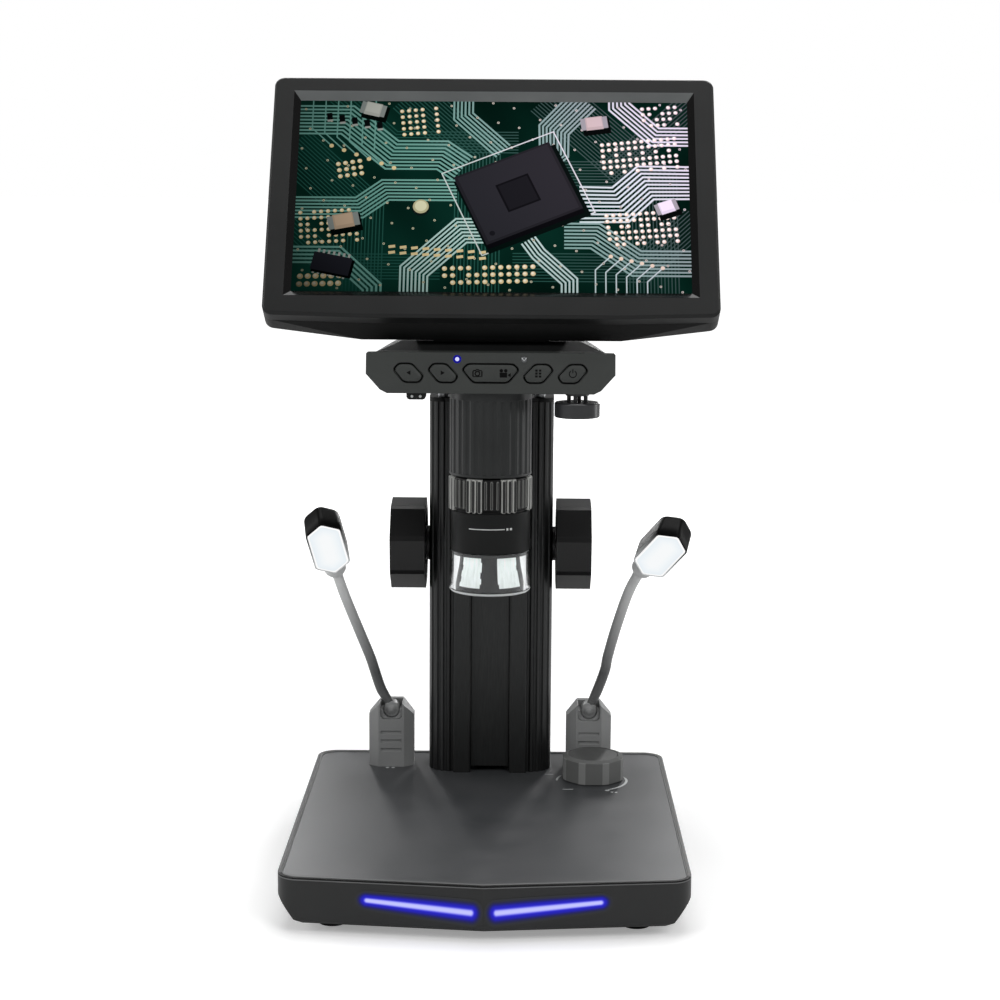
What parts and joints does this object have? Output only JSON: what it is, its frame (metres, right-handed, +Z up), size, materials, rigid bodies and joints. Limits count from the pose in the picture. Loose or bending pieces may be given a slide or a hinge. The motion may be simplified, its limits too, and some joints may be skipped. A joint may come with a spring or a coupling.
{
  "type": "lcd digital microscope",
  "caption": "Digital microscope on a flat lit base: tilting LCD screen, key panel and lens barrel raised by a rack and pinion column, with two adjustable gooseneck lamps.",
  "frame": {"origin": "centre of the overall bounding box at the level of the rubber feet's undersides", "axes": "+X to the user's right, +Y away from the user, +Z up"},
  "size_m": [0.1756, 0.172, 0.3017],
  "materials": {
    "base_plastic": "satin",
    "stage_paint": "fine textured satin",
    "foot_rubber": "matte",
    "screw_steel": "satin",
    "blue_diffuser": "translucent, lit",
    "circuit_board": "satin",
    "component_plastic": "matte",
    "connector_steel": "satin",
    "column_anodised": "black anodised",
    "column_cap_plastic": "matte",
    "bush_acetal": "black acetal, satin",
    "lamp_plastic": "satin",
    "shaft_steel": "ground",
    "gear_brass": "cut",
    "knob_plastic": "satin",
    "rack_aluminium": "black anodised",
    "head_plastic": "satin",
    "panel_plastic": "satin",
    "indicator_plastic": "clear",
    "barrel_plastic": "satin",
    "lens_glass": "coated",
    "led_board": "white solder mask",
    "clear_plastic": "clear",
    "dial_plastic": "satin",
    "key_plastic": "satin",
    "bezel_plastic": "satin",
    "screen_glass": "display",
    "neck_sleeve": "satin sleeve",
    "lamp_diffuser": "translucent, lit"
  },
  "bodies": {
    "stand": {"base_shell": "base_plastic", "stage_plate": "stage_paint", "base_feet": "foot_rubber", "base_screws": "screw_steel", "light_bars": "blue_diffuser", "light_bar_boards": "circuit_board", "base_board": "circuit_board", "dimmer_pot": "component_plastic", "usb_sockets": "connector_steel", "power_socket": "connector_steel", "column": "column_anodised", "column_cap": "column_cap_plastic", "cap_screws": "screw_steel", "shaft_bushes": "bush_acetal", "plug_block_left": "lamp_plastic", "plug_block_right": "lamp_plastic", "lamp_plugs": "connector_steel"},
    "head": {"rack_bar": "rack_aluminium", "head_shell": "head_plastic", "head_cover": "head_plastic", "control_panel": "panel_plastic", "head_screws": "screw_steel", "main_board": "circuit_board", "key_switches": "component_plastic", "indicator_lenses": "indicator_plastic", "port_block": "column_cap_plastic", "barrel_tube": "barrel_plastic", "image_sensor": "circuit_board", "lens_cell": "barrel_plastic", "objective_lens": "lens_glass", "led_ring": "led_board", "lens_sleeve": "barrel_plastic", "clear_cap": "clear_plastic"},
    "drive": {"focus_shaft": "shaft_steel", "drive_pinion": "gear_brass", "focus_knob_left": "knob_plastic", "focus_knob_right": "knob_plastic"},
    "screen": {"screen_bezel": "bezel_plastic", "screen_rear_shell": "bezel_plastic", "lcd_panel": "screen_glass", "screen_board": "circuit_board", "hinge_pin": "shaft_steel", "screen_screws": "screw_steel"},
    "focus_ring": {"focus_ring": "barrel_plastic"},
    "thumb_wheel": {"thumb_wheel": "knob_plastic"},
    "dimmer": {"dimmer_knob": "dial_plastic", "dimmer_shaft": "shaft_steel"},
    "key_previous": {"key_previous": "key_plastic"},
    "key_next": {"key_next": "key_plastic"},
    "key_capture": {"key_capture": "key_plastic"},
    "key_menu": {"key_menu": "key_plastic"},
    "key_power": {"key_power": "key_plastic"},
    "left_arm_lower": {"neck_lower_left": "neck_sleeve"},
    "left_arm_upper": {"neck_upper_left": "neck_sleeve"},
    "left_lamp": {"lamp_head_left": "lamp_plastic", "lamp_lens_left": "lamp_diffuser"},
    "right_arm_lower": {"neck_lower_right": "neck_sleeve"},
    "right_arm_upper": {"neck_upper_right": "neck_sleeve"},
    "right_lamp": {"lamp_head_right": "lamp_plastic", "lamp_lens_right": "lamp_diffuser"}
  },
  "joints": [
    {"name": "focus_lift", "type": "slide", "parent": "stand", "child": "head", "axis": [0, 0, 1], "range_m": [-0.0015, 0.055]},
    {"name": "focus_turn", "type": "hinge", "parent": "stand", "child": "drive", "pos_m": [0, 0.0673, 0.114], "axis": [-1, 0, 0], "range_deg": [-20, 660]},
    {"name": "screen_tilt", "type": "hinge", "parent": "head", "child": "screen", "pos_m": [0, 0.037, 0.204], "axis": [1, 0, 0], "range_deg": [-50, 6]},
    {"name": "focus_ring_turn", "type": "hinge", "parent": "head", "child": "focus_ring", "pos_m": [0, 0.032, 0.141], "axis": [0, 0, 1], "range_deg": [-150, 150]},
    {"name": "thumb_wheel_turn", "type": "hinge", "parent": "head", "child": "thumb_wheel", "pos_m": [0.0334, 0.022, 0.1744], "axis": [0, 0, 1], "range_deg": [-135, 135]},
    {"name": "dimmer_turn", "type": "hinge", "parent": "stand", "child": "dimmer", "pos_m": [0.0424, 0.049, 0.025], "axis": [0, 0, 1], "range_deg": [-135, 135]},
    {"name": "key_previous_press", "type": "slide", "parent": "head", "child": "key_previous", "axis": [0, 0.9643, -0.2647], "range_m": [0, 0.0007], "stiffness_N_per_m": 400, "springref_m": -0.0005},
    {"name": "key_next_press", "type": "slide", "parent": "head", "child": "key_next", "axis": [0, 0.9643, -0.2647], "range_m": [0, 0.0007], "stiffness_N_per_m": 400, "springref_m": -0.0005},
    {"name": "key_menu_press", "type": "slide", "parent": "head", "child": "key_menu", "axis": [0, 0.9643, -0.2647], "range_m": [0, 0.0007], "stiffness_N_per_m": 400, "springref_m": -0.0005},
    {"name": "key_power_press", "type": "slide", "parent": "head", "child": "key_power", "axis": [0, 0.9643, -0.2647], "range_m": [0, 0.0007], "stiffness_N_per_m": 400, "springref_m": -0.0005},
    {"name": "key_capture_rock", "type": "hinge", "parent": "head", "child": "key_capture", "pos_m": [0, 0.01899, 0.18786], "axis": [0, 0.2647, 0.9643], "range_deg": [-3, 3], "stiffness_Nm_per_rad": 0.02},
    {"name": "left_arm_swing", "type": "hinge", "parent": "stand", "child": "left_arm_lower", "pos_m": [-0.041, 0.0678, 0.0439], "axis": [0, 1, 0], "range_deg": [-8, 9]},
    {"name": "left_arm_bend", "type": "hinge", "parent": "left_arm_lower", "child": "left_arm_upper", "pos_m": [-0.0498, 0.0646, 0.0667], "axis": [1, 0, 0], "range_deg": [-15, 30]},
    {"name": "left_lamp_tilt", "type": "hinge", "parent": "left_arm_upper", "child": "left_lamp", "pos_m": [-0.0634, 0.0595, 0.1037], "axis": [0.981, 0.1942, 0], "range_deg": [-25, 12]},
    {"name": "right_arm_swing", "type": "hinge", "parent": "stand", "child": "right_arm_lower", "pos_m": [0.041, 0.0678, 0.0439], "axis": [0, 1, 0], "range_deg": [-9, 12]},
    {"name": "right_arm_bend", "type": "hinge", "parent": "right_arm_lower", "child": "right_arm_upper", "pos_m": [0.0486, 0.0643, 0.0676], "axis": [1, 0, 0], "range_deg": [-15, 30]},
    {"name": "right_lamp_tilt", "type": "hinge", "parent": "right_arm_upper", "child": "right_lamp", "pos_m": [0.0612, 0.0588, 0.1049], "axis": [0.9573, -0.289, 0], "range_deg": [-25, 12]}
  ],
  "couplings": [
    {"joint": "focus_turn", "follows": "focus_lift", "rad_per_m": 208.33}
  ]
}
